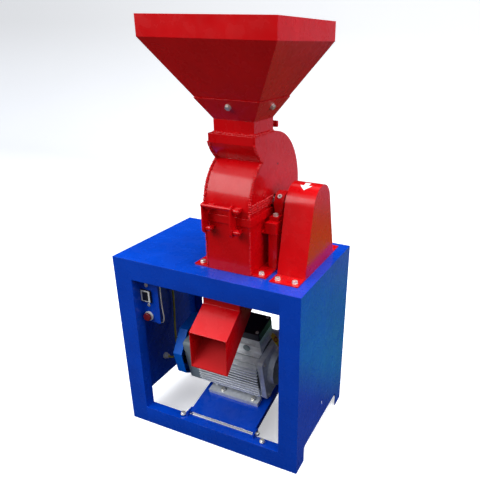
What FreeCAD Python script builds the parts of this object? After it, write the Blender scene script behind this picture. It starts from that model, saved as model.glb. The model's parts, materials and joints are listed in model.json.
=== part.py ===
import FreeCAD, Part

import math
import os

# Hammer mill on a sheet steel table. Millimetres, +Z up, -Y is the front, X runs along the front.
# The pieces are drawn about the middle of the table, then moved so that the origin is the
# middle of the whole machine's footprint, at floor level.

V = FreeCAD.Vector

# ---- fits and clearances ----
body_gap = 0.3          # between pieces that move against each other
run_fit = 0.05          # radial, on pins and shafts
slip_gap = 0.4          # round a piece dropped through a cut-out

# ---- table ----
table_w = 750.0
table_d = 490.0
table_h = 740.0
top_t = 4.0
sheet_t = 3.0
stile_w = 76.0
stile_depth = 45.0
stile_lip = 28.0
rail_h = 76.0
rail_depth = 40.0
foot_front_d = 71.0
foot_rear_d = 64.0
arch_h = 70.0
arch_r = 14.0
rear_flange = 40.0
adjust_slot_y = 7.0
adjust_slot_z = 146.0
adjust_slot_w = 12.0
adjust_slot_h = 24.0

# ---- mill housing ----
mill_x = 74.0           # middle of the housing
mill_w = 172.0
plate_t = 5.0
wrap_t = 4.0
mill_front = -176.0
mill_rear = 211.0
seam_h = 204.0          # of the parting line above the table
band_h = 27.0
band_t = 5.0
rotor_y = 2.0
rotor_h = 218.0         # of the shaft above the table
front_arc_r = 178.0
crease_y = -88.0
throat_front = -134.0
throat_low_h = 429.0
throat_top_h = 458.0
rear_arc_y = -2.0
flange_out = 54.0
flange_t = 6.0
flange_bolt_r = 5.5
flange_bolt_in = 22.0   # from the housing's front and back
flange_bolt_out = 30.0  # from the housing's sides
slide_top_h = 112.0

# ---- rotor ----
shaft_r = 20.0
shaft_left = -76.0
shaft_hole_r = 24.0
disc_r = 100.0
disc_t = 8.0
disc_pitch = 40.0
disc_count = 4
pin_r = 6.0
pin_circle_r = 78.0
hammer_rows = 4
hammer_reach = 62.0     # from its pin to its tip
hammer_w = 40.0
hammer_t = 12.0
screen_gap = 8.0
screen_t = 2.5
screen_slot_w = 6.0
screen_slots = 11
screen_end = 10.0       # degrees below level at each end
screen_border = 14.0

# ---- bearings ----
bearing_rise = 45.0     # shaft above the seat
bearing_r = 42.0
bearing_w = 34.0
bearing_base_l = 150.0
bearing_base_t = 14.0
seat_w = 40.0
seat_h = 34.0
seat_front = -100.0
seat_rear = 108.0
shelf_reach = 56.0
shelf_t = 6.0

# ---- drive ----
belt_in = 33.0          # from the guard's left side to the middle of the belts
belt_count = 3
belt_w = 12.4
belt_t = 9.0
groove_w = 13.0
groove_pitch = 15.0
groove_depth = 10.0
pulley_edge = 2.5
mill_pulley_r = 60.0
motor_pulley_r = 92.0
belt_slot_gap = 16.0

# ---- belt guard ----
guard_gap = 17.0        # between a bearing's seat and the guard
guard_w = 104.0
guard_t = 2.5
guard_front = -124.0
guard_rear = 152.0
guard_arc_y = 10.0
guard_arc_r = 79.0
guard_flange = 62.0
guard_flange_t = 4.0
guard_bolt_in = 20.5

# ---- discharge chute ----
chute_x = 53.0
chute_w = 150.0
chute_t = 3.0
chute_front = -201.0
chute_kink_z = 610.0
mouth_y = -298.0
mouth_top_z = 541.0
mouth_low_z = 398.0
chute_rear = 62.0
chute_flange = 14.0

# ---- neck, collar and hopper ----
neck_w = 146.0
neck_d = 134.0
neck_front = -127.0
neck_offset = 6.0       # of the neck and hopper, from the housing's middle towards the guard
neck_h = 45.0
neck_t = 4.0
collar_h = 65.0
collar_t = 3.0
hopper_slope = 0.66     # sideways per unit of height
hopper_t = 2.0
hopper_dip = 13.0       # bottom edge above the collar's bottom
cone_top_h = 735.0      # above the table
rim_top_h = 794.0
gate_t = 3.0
gate_rise = 22.0
gate_tail = 30.0
grip_t = 12.0
grip_lip = 5.0

# ---- lid hinge ----
hinge_out = 16.0        # of the pin behind the housing
hinge_pin_r = 5.0
knuckle_r = 9.0
knuckle_w = 30.0
leaf_t = 4.0
leaf_h = 40.0
hinge_inset = 12.0      # from each side of the housing

# ---- latch ----
strap_t = 6.0
strap_r = 17.5
strap_y = -199.5
strap_low_h = 159.0
strap_high_h = 232.0
strap_xs = (1.0, 105.0)
latch_pin_r = 5.0
latch_boss_r = 9.5
latch_boss_w = 20.0
latch_head_t = 4.0
yoke_bar_r = 6.0

# ---- motor and its plate ----
plate_tilt = 13.0       # degrees, rear end up
plate_left = -113.0
plate_right = 177.0
plate_front = -5.0      # from the hinge rod
plate_rear = 365.0
plate_rise = 13.0       # plate top above the rod
mount_t = 5.0
mount_flange = 24.0
pivot_y = -198.0
pivot_z = 82.0
rod_r = 5.0
lug_t = 6.0
motor_mid = 232.0       # from the hinge rod, along the plate
motor_axis_h = 132.0
foot_spread = 216.0
foot_bolts_x = (-28.0, 112.0)
foot_left = -88.0
foot_right = 139.0
foot_w = 38.0
foot_t = 18.0
foot_hole_r = 6.0
foot_rib_t = 12.0
foot_rib_h = 24.0
foot_rib_start = 14.0   # from the bolt line, towards the frame
foot_rib_end = 54.0
frame_r = 112.0
fin_r = 118.0
fin_t = 4.0
fin_pitch = 15.0
fins_left = -125.0
fins_right = 150.0
shield_half = 103.0     # across its flats
shield_corner_r = 15.0
shield_w = 24.0
shield_nose_r = 77.0
drive_face = 198.0
rear_face = -186.0
fan_left = -218.0
fan_hub_w = 26.0
fan_hub_r = 34.0
fan_blade_w = 22.0
fan_blades = 7
cowl_left = -226.0
cowl_flat = 126.0       # half width across the flats
cowl_t = 2.0
grille_r = 80.0
grille_pitch = 15.0
grille_slot = 8.0
motor_shaft_r = 19.0
motor_shaft_past = 26.0 # past the middle of the belts
fan_r = 105.0
box_left = 28.0
box_right = 150.0
box_half = 56.0
box_rise = 138.0
box_h = 34.0
box_lid_h = 34.0
box_step = 2.0          # lid and pad stand out past the box
box_corner_r = 6.0

# ---- controls and wiring ----
panel_y = -200.0
panel_in = 35.0         # from the table's left side
panel_w = 118.0
panel_low = 469.0
panel_t = 2.0
panel_lip = 8.0
switch_in = 64.5        # from the panel's left edge
switch_z = 580.0
switch_w = 46.0
switch_h = 50.0
switch_proud = 7.0
switch_rim_w = 5.0
switch_rim_h = 3.0
switch_depth = 20.0     # behind the plate
rocker_depth = 6.0
rocker_pin_y = 3.0      # in front of the plate
rocker_pin_r = 1.5
rocker_room = 1.4       # above and below the rocker, for its swing
rocker_w = 22.0
rocker_h = 34.0
rocker_proud = 4.0
button_in = 68.0        # from the panel's left edge
button_z = 494.0
button_r = 16.0
button_stroke = 5.0
cap_t = 7.0
cap_edge_r = 2.5
bezel_t = 5.0
bezel_rim = 3.0
bezel_wall = 1.6
bezel_depth = 18.0      # of its barrel behind the plate
bezel_floor = 4.0
gland_y = -16.0
gland_z = 169.0
gland_r = 14.0
gland_l = 20.0
gland_nut = 8.0
supply_r = 4.5
lead_r = 2.0
# Routes of the two cables that are held at both ends.
supply_route = (
    (-277, -171, 575), (-283, -130, 588), (-300, -80, 596), (-322, -25, 590), (-343, 20, 560),
    (-354, 49, 516), (-360, 62, 464), (-362, 66, 408), (-361, 62, 350), (-356, 52, 300),
    (-344, 35, 263), (-327, 16, 235), (-312, 3, 208), (-313, -10, 183), (-330, -16, 169),
    (-352, -16, 169),
)
lead_route = (
    (-214, -194, 655), (-215, -193, 615), (-216, -192, 572), (-215, -191, 530),
    (-211, -190, 498), (-216, -188, 472), (-236, -187, 463), (-251, -187, 473), (-265, -187, 487),
)

# ---- places worked out from the sizes above ----
half_w = table_w / 2
half_d = table_d / 2
under_top = table_h - top_t
seam_z = table_h + seam_h
rotor_z = table_h + rotor_h
mill_left = mill_x - mill_w / 2
mill_right = mill_x + mill_w / 2
inner_left = mill_left + plate_t
inner_right = mill_right - plate_t
guard_left = mill_right + shelf_reach + guard_gap
belt_x = guard_left + belt_in
motor_shaft_end = belt_x + motor_shaft_past
panel_left = panel_in - half_w
panel_right = panel_left + panel_w
switch_x = panel_left + switch_in
button_x = panel_left + button_in
throat_top = table_h + throat_top_h
rear_arc_r = mill_rear - rear_arc_y
rear_arc_z = throat_top - rear_arc_r
neck_x = mill_x + neck_offset
neck_mid = neck_front + neck_d / 2
collar_z = throat_top + neck_h
collar_skin = collar_t * math.hypot(1, hopper_slope)
hopper_skin = hopper_t * math.hypot(1, hopper_slope)
cone_top = table_h + cone_top_h
rim_top = table_h + rim_top_h
hinge_y = mill_rear + hinge_out
seat_top = rotor_z - bearing_rise
hammer_tip_r = pin_circle_r + hammer_reach
screen_r = hammer_tip_r + screen_gap
pulley_w = (belt_count - 1) * groove_pitch + groove_w + 2 * pulley_edge
tilt = math.radians(plate_tilt)
motor_rise = plate_rise + motor_axis_h
motor_y = pivot_y + motor_mid * math.cos(tilt) - motor_rise * math.sin(tilt)
motor_z = pivot_z + motor_mid * math.sin(tilt) + motor_rise * math.cos(tilt)
rim_front = neck_mid - (neck_d / 2 - collar_skin + hopper_slope * (cone_top - collar_z))
whole_front = min(mouth_y, rim_front, -half_d)
origin_y = (whole_front + half_d) / 2


def save(name, *solids):
    """Writes one node, moved from the table's frame to the machine's frame."""
    shape = solids[0].copy() if len(solids) == 1 else Part.makeCompound([s.copy() for s in solids])
    shape.translate(V(0, -origin_y, 0))
    shape.exportStep("parts/" + name + ".step")


def box(x0, x1, y0, y1, z0, z1):
    return Part.makeBox(x1 - x0, y1 - y0, z1 - z0, V(x0, y0, z0))


def rod_x(x0, x1, y, z, r):
    return Part.makeCylinder(r, x1 - x0, V(x0, y, z), V(1, 0, 0))


def rod_y(y0, y1, x, z, r):
    return Part.makeCylinder(r, y1 - y0, V(x, y0, z), V(0, 1, 0))


def rod_z(z0, z1, x, y, r):
    return Part.makeCylinder(r, z1 - z0, V(x, y, z0), V(0, 0, 1))


def fuse(first, *others):
    return first.fuse(list(others)).removeSplitter()


def line(a, b):
    return Part.LineSegment(V(0, a[0], a[1]), V(0, b[0], b[1])).toShape()


def arc(a, mid, b):
    return Part.Arc(V(0, a[0], a[1]), V(0, mid[0], mid[1]), V(0, b[0], b[1])).toShape()


def side_face(edges):
    """A face in the YZ plane from edges given as (y, z) lines and arcs."""
    return Part.Face(Part.Wire(edges))


def side_prism(points, x0, x1):
    """A straight prism along X from a closed outline of (y, z) corners."""
    edges = [line(a, b) for a, b in zip(points, points[1:] + points[:1])]
    return along_x(side_face(edges), x0, x1)


def along_x(face, x0, x1):
    solid = face.extrude(V(x1 - x0, 0, 0))
    solid.translate(V(x0, 0, 0))
    return solid


def on_circle(cy, cz, r, degrees):
    a = math.radians(degrees)
    return (cy + r * math.cos(a), cz + r * math.sin(a))


def frustum(cx, cy, low, high):
    """A four-sided taper: low and high are (half x, half y, z)."""
    wires = []
    for hx, hy, z in (low, high):
        corners = [V(cx + sx * hx, cy + sy * hy, z) for sx, sy in ((-1, -1), (1, -1), (1, 1), (-1, 1))]
        wires.append(Part.makePolygon(corners + corners[:1]))
    return Part.makeLoft(wires, True, True)


def belt_outline(r_low, r_high):
    """The closed line round the motor pulley and the mill pulley at two radii."""
    span = math.hypot(rotor_y - motor_y, rotor_z - motor_z)
    lean = math.degrees(math.atan2(rotor_z - motor_z, rotor_y - motor_y))
    wrap = math.degrees(math.acos((r_low - r_high) / span))
    low = [on_circle(motor_y, motor_z, r_low, lean + s * wrap) for s in (1, -1)]
    high = [on_circle(rotor_y, rotor_z, r_high, lean + s * wrap) for s in (1, -1)]
    low_far = on_circle(motor_y, motor_z, r_low, lean + 180)
    high_far = on_circle(rotor_y, rotor_z, r_high, lean)
    return side_face([
        line(low[0], high[0]), arc(high[0], high_far, high[1]),
        line(high[1], low[1]), arc(low[1], low_far, low[0]),
    ])


def cable(points, r):
    """A tube along straight runs joined by tangent arcs, each as large as its runs allow."""
    p = [V(*c) for c in points]
    edges = []
    start = p[0]
    for i in range(1, len(p) - 1):
        back = p[i - 1] - p[i]
        ahead = p[i + 1] - p[i]
        run = min(back.Length, ahead.Length)
        back.normalize()
        ahead.normalize()
        half_turn = (math.pi - back.getAngle(ahead)) / 2
        reach = 0.45 * run
        bend = reach / math.tan(half_turn)
        a = p[i] + back * reach
        b = p[i] + ahead * reach
        toward = back + ahead
        toward.normalize()
        mid = p[i] + toward * (math.hypot(bend, reach) - bend)
        edges.append(Part.LineSegment(start, a).toShape())
        edges.append(Part.Arc(a, mid, b).toShape())
        start = b
    edges.append(Part.LineSegment(start, p[-1]).toShape())
    path = Part.Wire(edges)
    section = Part.Wire(Part.Circle(p[0], p[1] - p[0], r).toShape())
    return path.makePipeShell([section], True, False)


def on_plate(shape):
    """Moves a piece drawn flat about the hinge rod onto the tilted motor plate."""
    shape.rotate(V(0, 0, 0), V(1, 0, 0), plate_tilt)
    shape.translate(V(0, pivot_y, pivot_z))
    return shape


def table():
    top = box(-half_w, half_w, -half_d, half_d, under_top, table_h)
    outlet = box(inner_left, chute_x + chute_w / 2 - chute_t,
                 mill_front + plate_t, chute_rear - chute_t, under_top - 1, table_h + 1)
    strands = belt_outline(motor_pulley_r + belt_slot_gap, mill_pulley_r + belt_slot_gap)
    slot = along_x(strands, belt_x - pulley_w / 2, belt_x + pulley_w / 2)
    sheet = box(belt_x - pulley_w, belt_x + pulley_w, -half_d, half_d, under_top - 1, table_h + 1)
    span = slot.common(sheet).BoundBox
    slot = box(belt_x - pulley_w / 2 + 1, belt_x + pulley_w / 2 - 1, span.YMin, span.YMax,
               under_top - 1, table_h + 1)
    save("table_top", top.cut([outlet, slot]))

    inner = half_w - stile_w
    stile = fuse(
        box(inner, half_w, -half_d, -half_d + sheet_t, 0, under_top),
        box(inner, inner + sheet_t, -half_d, -half_d + stile_depth, 0, under_top),
        box(inner, inner + stile_lip, -half_d + stile_depth - sheet_t, -half_d + stile_depth, 0, under_top),
    )
    save("stile_right", stile)
    save("stile_left", stile.mirror(V(0, 0, 0), V(1, 0, 0)))

    low = under_top - rail_h
    save("rail_front_top", fuse(
        box(-inner, inner, -half_d, -half_d + sheet_t, low, under_top),
        box(-inner, inner, -half_d, -half_d + rail_depth, low, low + sheet_t),
    ))
    save("rail_front_bottom", fuse(
        box(-inner, inner, -half_d, -half_d + sheet_t, 0, rail_h),
        box(-inner, inner, -half_d, -half_d + rail_depth, rail_h - sheet_t, rail_h),
    ))
    reach = half_w - rear_flange
    save("rail_rear_top", fuse(
        box(-reach, reach, half_d - sheet_t, half_d, low, under_top),
        box(-reach, reach, half_d - rail_depth, half_d, low, low + sheet_t),
    ))

    arch_front = -half_d + foot_front_d
    arch_rear = half_d - foot_rear_d
    arch = box(half_w - 2 * sheet_t, half_w + 1, arch_front, arch_rear, -1, arch_h)
    arch = arch.makeFillet(arch_r, [e for e in arch.Edges if is_along_x_at(e, arch_h)])
    panel = box(half_w - sheet_t, half_w, -half_d + sheet_t, half_d, 0, under_top).cut(arch)
    panel = fuse(panel, box(half_w - rear_flange, half_w, half_d - sheet_t, half_d, 0, under_top))
    save("side_panel_left", panel.mirror(V(0, 0, 0), V(1, 0, 0)))
    half_slot = (adjust_slot_h - adjust_slot_w) / 2
    cuts = [box(half_w - 2 * sheet_t, half_w + 1, adjust_slot_y - adjust_slot_w / 2,
                adjust_slot_y + adjust_slot_w / 2, adjust_slot_z - half_slot, adjust_slot_z + half_slot)]
    for side in (-1, 1):
        cuts.append(rod_x(half_w - 2 * sheet_t, half_w + 1, adjust_slot_y,
                          adjust_slot_z + side * half_slot, adjust_slot_w / 2))
    save("side_panel_right", panel.cut(cuts))


def is_along_x_at(edge, z):
    a = edge.Vertexes[0].Point
    b = edge.Vertexes[-1].Point
    return abs(a.z - z) < 0.01 and abs(b.z - z) < 0.01 and abs(a.x - b.x) > 0.5


def controls():
    rail_low = under_top - rail_h
    cut_w = switch_w - 2 * switch_rim_w
    cut_h = switch_h - 2 * switch_rim_h
    front = panel_y
    back = panel_y + panel_t
    plate = box(panel_left, panel_right, front, back, panel_low, rail_low)
    lip_left = stile_w - half_w + sheet_t
    plate = fuse(plate, box(lip_left, panel_right, front - panel_lip, back, rail_low - panel_t, rail_low))
    hole = box(switch_x - cut_w / 2, switch_x + cut_w / 2, front - 1, back + 1,
               switch_z - cut_h / 2, switch_z + cut_h / 2)
    stem_r = button_r / 2
    barrel_r = stem_r + bezel_wall
    stem_hole = rod_y(front - 1, back + 1, button_x, button_z, barrel_r + slip_gap)
    save("control_plate", plate.cut([hole, stem_hole]))

    body = fuse(
        box(switch_x - switch_w / 2, switch_x + switch_w / 2, front - switch_proud, front,
            switch_z - switch_h / 2, switch_z + switch_h / 2),
        box(switch_x - cut_w / 2 + slip_gap, switch_x + cut_w / 2 - slip_gap, front, front + switch_depth,
            switch_z - cut_h / 2 + slip_gap, switch_z + cut_h / 2 - slip_gap),
    )
    pocket = box(switch_x - rocker_w / 2 - body_gap, switch_x + rocker_w / 2 + body_gap,
                 front - switch_proud - 1, front + rocker_depth,
                 switch_z - rocker_h / 2 - rocker_room, switch_z + rocker_h / 2 + rocker_room)
    pin_y = front - rocker_pin_y
    pin = rod_x(switch_x - rocker_w / 2 - 1, switch_x + rocker_w / 2 + 1, pin_y, switch_z, rocker_pin_r)
    save("switch_housing", fuse(body.cut(pocket), pin))
    rocker = box(switch_x - rocker_w / 2, switch_x + rocker_w / 2, front - switch_proud - rocker_proud, front,
                 switch_z - rocker_h / 2, switch_z + rocker_h / 2)
    pin_hole = rod_x(switch_x - rocker_w, switch_x + rocker_w, pin_y, switch_z, rocker_pin_r + run_fit)
    save("switch_rocker", rocker.cut(pin_hole))

    ring_front = front - bezel_t
    bore_end = front + bezel_depth - bezel_floor
    ring = rod_y(ring_front, front, button_x, button_z, button_r + bezel_rim)
    barrel = rod_y(front, front + bezel_depth, button_x, button_z, barrel_r)
    bore = rod_y(ring_front - 1, bore_end, button_x, button_z, stem_r + run_fit)
    save("button_bezel", fuse(ring, barrel).cut(bore))
    cap_back = ring_front - button_stroke - 1
    cap_front = cap_back - cap_t
    cap = rod_y(cap_front, cap_back, button_x, button_z, button_r)
    cap = cap.makeFillet(cap_edge_r, [e for e in cap.Edges if abs(e.BoundBox.YMax - cap_front) < 0.01])
    stem = rod_y(cap_back, bore_end - button_stroke - 1, button_x, button_z, stem_r)
    save("stop_button", fuse(cap, stem))

    wall = -half_w + sheet_t
    nut = rod_x(wall, wall + gland_nut, gland_y, gland_z, gland_r)
    nose = rod_x(wall + gland_nut, wall + gland_l, gland_y, gland_z, gland_r - 4)
    save("cable_gland", fuse(nut, nose))
    save("supply_cable", cable(supply_route, supply_r))
    save("control_lead", cable(lead_route, lead_r))


def housing_outline():
    """Side view of the upper housing: arcs over the rotor, a crease, the throat and the back."""
    base = seam_z + body_gap
    front_low = (mill_front, base)
    front_mid = (mill_front, rotor_z)
    lift = math.sqrt(front_arc_r ** 2 - (crease_y - rotor_y) ** 2)
    crease = (crease_y, rotor_z + lift)
    crease_deg = math.degrees(math.atan2(lift, crease_y - rotor_y))
    arc_mid = on_circle(rotor_y, rotor_z, front_arc_r, (180 + crease_deg) / 2)
    throat_low = (throat_front, table_h + throat_low_h)
    bow = ((crease[0] + throat_low[0]) / 2 - 5, (crease[1] + throat_low[1]) / 2 - 2)
    throat_high = (throat_front, throat_top)
    top = (rear_arc_y, throat_top)
    rear_mid = on_circle(rear_arc_y, rear_arc_z, rear_arc_r, 45)
    rear_high = (mill_rear, rear_arc_z)
    rear_low = (mill_rear, base)
    return [
        line(front_low, front_mid), arc(front_mid, arc_mid, crease), arc(crease, bow, throat_low),
        line(throat_low, throat_high), line(throat_high, top), arc(top, rear_mid, rear_high),
        line(rear_high, rear_low), line(rear_low, front_low),
    ]


def shaft_way(x0, x1):
    """Room for the shaft in a side plate that lifts off upward."""
    hole = rod_x(x0, x1, rotor_y, rotor_z, shaft_hole_r)
    way = box(x0, x1, rotor_y - shaft_hole_r, rotor_y + shaft_hole_r, seam_z - 1, rotor_z)
    return fuse(hole, way)


def upper_housing():
    outline = side_face(housing_outline())
    way = shaft_way(mill_left - 1, mill_right + 1)
    left = along_x(outline, mill_left, inner_left).cut(way)
    right = along_x(outline, inner_right, mill_right).cut(way)
    save("upper_side_plates", left, right)

    skin = outline.cut(outline.makeOffset2D(-wrap_t))
    wrap = along_x(skin, inner_left, inner_right)
    below = box(inner_left - 1, inner_right + 1, mill_front + wrap_t, mill_rear - wrap_t,
                seam_z - 1, seam_z + 12)
    inlet = box(neck_x - neck_w / 2 + neck_t, neck_x + neck_w / 2 - neck_t,
                neck_front + neck_t, neck_front + neck_d - neck_t, throat_top - 14, throat_top + 1)
    save("upper_wrapper", wrap.cut([below, inlet]))

    neck_left = neck_x - neck_w / 2
    neck_right = neck_x + neck_w / 2
    neck_rear = neck_front + neck_d
    tube = box(neck_left, neck_right, neck_front, neck_rear, throat_top, collar_z)
    hole = box(neck_left + neck_t, neck_right - neck_t, neck_front + neck_t, neck_rear - neck_t,
               throat_top - 1, collar_z + 1)
    gate_z = throat_top + gate_rise
    gate_half = neck_w / 2 - neck_t - body_gap
    slot = box(neck_x - gate_half - body_gap, neck_x + gate_half + body_gap, neck_mid,
               neck_rear + 1, gate_z - body_gap, gate_z + gate_t + body_gap)
    save("feed_neck", tube.cut([hole, slot]))
    gate = box(neck_x - gate_half, neck_x + gate_half, neck_front + neck_t + body_gap,
               neck_rear + gate_tail, gate_z, gate_z + gate_t)
    handle = box(neck_x - neck_w / 4, mill_right - 2, neck_rear + gate_tail - grip_t,
                 neck_rear + gate_tail, gate_z - grip_t, gate_z + gate_t + grip_lip)
    save("feed_gate", fuse(gate, handle))

    hx = neck_w / 2
    hy = neck_d / 2
    grow = hopper_slope * collar_h
    outer = frustum(neck_x, neck_mid, (hx, hy, collar_z), (hx + grow, hy + grow, collar_z + collar_h))
    in_low = -collar_skin - hopper_slope
    in_high = grow - collar_skin + hopper_slope
    inner = frustum(neck_x, neck_mid, (hx + in_low, hy + in_low, collar_z - 1),
                    (hx + in_high, hy + in_high, collar_z + collar_h + 1))
    save("neck_collar", outer.cut(inner))

    def half_at(z, skin):
        spread = hopper_slope * (z - collar_z) - collar_skin - skin
        return (hx + spread, hy + spread, z)
    low = collar_z + hopper_dip
    cone = frustum(neck_x, neck_mid, half_at(low, 0), half_at(cone_top, 0))
    top = half_at(cone_top, 0)
    rim = box(neck_x - top[0], neck_x + top[0], neck_mid - top[1], neck_mid + top[1], cone_top, rim_top)
    cone_in = frustum(neck_x, neck_mid, half_at(low - 1, hopper_skin), half_at(cone_top, hopper_skin))
    rim_in = box(neck_x - top[0] + hopper_t, neck_x + top[0] - hopper_t, neck_mid - top[1] + hopper_t,
                 neck_mid + top[1] - hopper_t, cone_top, rim_top + 1)
    save("hopper", fuse(cone, rim).cut([cone_in, rim_in]))


def lower_housing():
    hole = rod_x(mill_left - 30, mill_right + 30, rotor_y, rotor_z, shaft_hole_r)
    sides = []
    for x0 in (mill_left, inner_right):
        sides.append(box(x0, x0 + plate_t, mill_front, mill_rear, table_h, seam_z).cut(hole))
    save("lower_side_plates", *sides)
    front = box(inner_left, inner_right, mill_front, mill_front + plate_t, table_h, seam_z)
    rear = box(inner_left, inner_right, mill_rear - plate_t, mill_rear, table_h, seam_z)
    slide_low = chute_rear - chute_t
    slide = side_prism([(slide_low, table_h), (slide_low + wrap_t, table_h),
                        (mill_rear - plate_t, table_h + slide_top_h - wrap_t),
                        (mill_rear - plate_t, table_h + slide_top_h)], inner_left, inner_right)
    save("lower_end_plates", front, rear, slide)

    outer = box(mill_left - band_t, mill_right + band_t, mill_front - band_t, mill_rear + band_t,
                seam_z - band_h, seam_z)
    inside = box(mill_left, mill_right, mill_front, mill_rear, seam_z - band_h - 1, seam_z + 1)
    save("seam_band", outer.cut([inside, hole]))

    bolt_ys = (mill_front + flange_bolt_in, mill_rear - flange_bolt_in)
    flanges = []
    for x0, x1, bolt_x in ((mill_left - flange_out, mill_left, mill_left - flange_bolt_out),
                           (mill_right, mill_right + flange_out, mill_right + flange_bolt_out)):
        holes = [rod_z(table_h - 1, table_h + flange_t + 1, bolt_x, y, flange_bolt_r) for y in bolt_ys]
        flanges.append(box(x0, x1, mill_front + 3, mill_rear - 3, table_h, table_h + flange_t).cut(holes))
    save("base_flanges", *flanges)


def mirrored(shape):
    return shape.mirror(V(mill_x, 0, 0), V(1, 0, 0))


def bearing_seats():
    out = mill_right + shelf_reach
    seat_low = seat_top - seat_h
    post_t = flange_t
    shelf = box(mill_right, out, seat_front, seat_rear, seat_low - shelf_t, seat_low)
    seat = box(out - seat_w, out, seat_front, seat_rear, seat_low, seat_top)
    face = box(out - 32, out, seat_front + 8, seat_front + 8 + post_t, table_h + flange_t, seat_low - shelf_t)
    web = box(out - post_t, out, seat_front + 8, seat_rear - 8, table_h + flange_t, seat_low - shelf_t)
    support = fuse(shelf, seat, face, web)
    save("bearing_supports", mirrored(support), support)
    mid = out - seat_w / 2
    half_base = bearing_base_l / 2
    block = fuse(
        box(mid - bearing_w / 2, mid + bearing_w / 2, rotor_y - half_base, rotor_y + half_base,
            seat_top, seat_top + bearing_base_t),
        box(mid - bearing_w / 2 + 4, mid + bearing_w / 2 - 4, rotor_y - bearing_r, rotor_y + bearing_r,
            seat_top, rotor_z),
        rod_x(mid - bearing_w / 2, mid + bearing_w / 2, rotor_y, rotor_z, bearing_r),
    )
    block = block.cut(rod_x(mid - bearing_w, mid + bearing_w, rotor_y, rotor_z, shaft_r + run_fit))
    save("bearing_right", block)
    save("bearing_left", mirrored(block))


def screen():
    start = -180.0 + screen_end
    stop = -screen_end
    points = [on_circle(rotor_y, rotor_z, r, a) for r in (screen_r, screen_r + screen_t)
              for a in (start, (start + stop) / 2, stop)]
    face = side_face([arc(points[0], points[1], points[2]), line(points[2], points[5]),
                      arc(points[5], points[4], points[3]), line(points[3], points[0])])
    sheet = along_x(face, inner_left + body_gap, inner_right - body_gap)
    step = (stop - start) / (screen_slots + 1)
    slots = []
    for i in range(1, screen_slots + 1):
        slot = box(inner_left + screen_border, inner_right - screen_border,
                   screen_r - 3, screen_r + screen_t + 3, -screen_slot_w / 2, screen_slot_w / 2)
        slot.rotate(V(0, 0, 0), V(1, 0, 0), start + i * step)
        slot.translate(V(0, rotor_y, rotor_z))
        slots.append(slot)
    save("screen", sheet.cut(slots))


def rotor():
    save("rotor_shaft", rod_x(shaft_left, belt_x + pulley_w / 2, rotor_y, rotor_z, shaft_r))
    first = mill_x - disc_pitch * (disc_count - 1) / 2
    shaft_bore = rod_x(first - disc_t, first + disc_pitch * disc_count, rotor_y, rotor_z, shaft_r)
    angles = [45 + i * 360 / hammer_rows for i in range(hammer_rows)]
    centres = [on_circle(rotor_y, rotor_z, pin_circle_r, a) for a in angles]
    pins = []
    for y, z in centres:
        pins.append(rod_x(first - disc_t, first + disc_pitch * (disc_count - 1) + disc_t, y, z, pin_r))
    solids = []
    for i in range(disc_count):
        x = first + i * disc_pitch
        disc = rod_x(x - disc_t / 2, x + disc_t / 2, rotor_y, rotor_z, disc_r)
        solids.append(disc.cut([shaft_bore] + pins))
    save("rotor_discs", *solids)
    save("hammer_pins", *pins)

    end_r = hammer_w / 2 - 2
    for row, (angle, (y, z)) in enumerate(zip(angles, centres), 1):
        hammers = []
        for i in range(disc_count - 1):
            x0 = first + (i + 0.5) * disc_pitch - hammer_t / 2
            blade = fuse(box(x0, x0 + hammer_t, 0, hammer_reach, -hammer_w / 2, hammer_w / 2),
                         rod_x(x0, x0 + hammer_t, 0, 0, hammer_w / 2))
            blade = blade.cut(box(x0 - 1, x0 + hammer_t + 1, -hammer_w, -end_r, -hammer_w, hammer_w))
            blade = blade.cut(rod_x(x0 - 1, x0 + hammer_t + 1, 0, 0, pin_r + run_fit))
            blade.rotate(V(0, 0, 0), V(1, 0, 0), angle)
            blade.translate(V(0, y, z))
            hammers.append(blade)
        save("hammer_row_%d" % row, *hammers)
    save("mill_pulley", pulley(rotor_y, rotor_z, mill_pulley_r, shaft_r))


def pulley(y, z, r, bore):
    left = belt_x - pulley_w / 2
    wheel = rod_x(left, left + pulley_w, y, z, r)
    cuts = [rod_x(left - 1, left + pulley_w + 1, y, z, bore)]
    for i in range(belt_count):
        x = left + pulley_edge + i * groove_pitch
        ring = rod_x(x, x + groove_w, y, z, r + 1).cut(rod_x(x, x + groove_w, y, z, r - groove_depth))
        cuts.append(ring)
    return wheel.cut(cuts)


def belts():
    low = motor_pulley_r - groove_depth + body_gap
    high = mill_pulley_r - groove_depth + body_gap
    loop = belt_outline(low + belt_t, high + belt_t).cut(belt_outline(low, high))
    left = belt_x - pulley_w / 2 + pulley_edge + (groove_w - belt_w) / 2
    solids = []
    for i in range(belt_count):
        x = left + i * groove_pitch
        solids.append(along_x(loop, x, x + belt_w))
    save("drive_belts", *solids)


def guard_solid(inset, x0, x1, low):
    """The guard's outline: two straight sides, tangent to a round top."""
    r = guard_arc_r - inset
    ends = []
    for y, side in ((guard_front + inset, 1), (guard_rear - inset, -1)):
        dy = y - guard_arc_y
        dz = low - rotor_z
        away = math.hypot(dy, dz)
        bearing = math.degrees(math.atan2(dz, dy))
        swing = math.degrees(math.acos(r / away))
        ends.append(((y, low), on_circle(guard_arc_y, rotor_z, r, bearing - side * swing)))
    crown = on_circle(guard_arc_y, rotor_z, r, 90)
    (fl, fh), (rl, rh) = ends
    face = side_face([line(fl, fh), arc(fh, crown, rh), line(rh, rl), line(rl, fl)])
    return along_x(face, x0, x1)


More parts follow.
